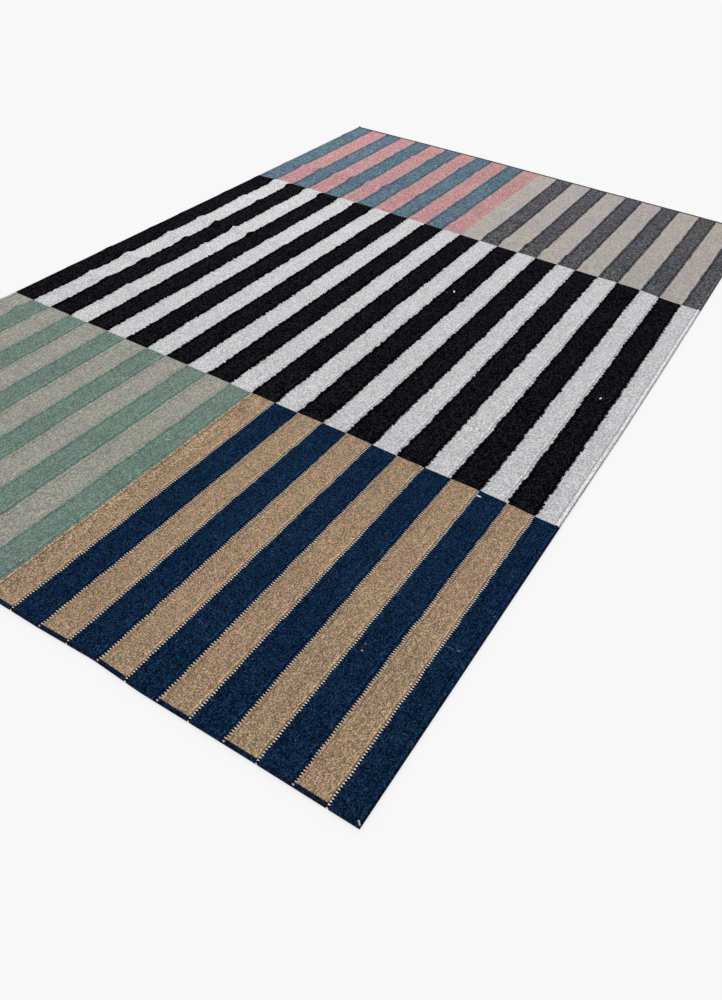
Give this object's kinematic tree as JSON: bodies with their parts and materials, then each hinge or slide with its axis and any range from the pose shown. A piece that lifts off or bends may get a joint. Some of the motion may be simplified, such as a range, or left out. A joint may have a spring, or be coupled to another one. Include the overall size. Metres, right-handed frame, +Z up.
{
  "type": "wool flatweave rug",
  "caption": "Large flat rectangular wool rug, woven in lengthwise stripes in blocks of colour, with corded sides, hemmed ends and soft fold creases.",
  "frame": {"origin": "middle of the underside, on the floor", "axes": "+X across the width to the right selvedge, +Y along the warps to the far end, +Z up off the floor"},
  "size_m": [1.5276, 2.4414, 0.0132],
  "materials": {
    "wool": "matte weft-faced wool flatweave, dyed in stripes, the same on both faces"
  },
  "bodies": {
    "root": {"rug": "wool"}
  },
  "joints": []
}
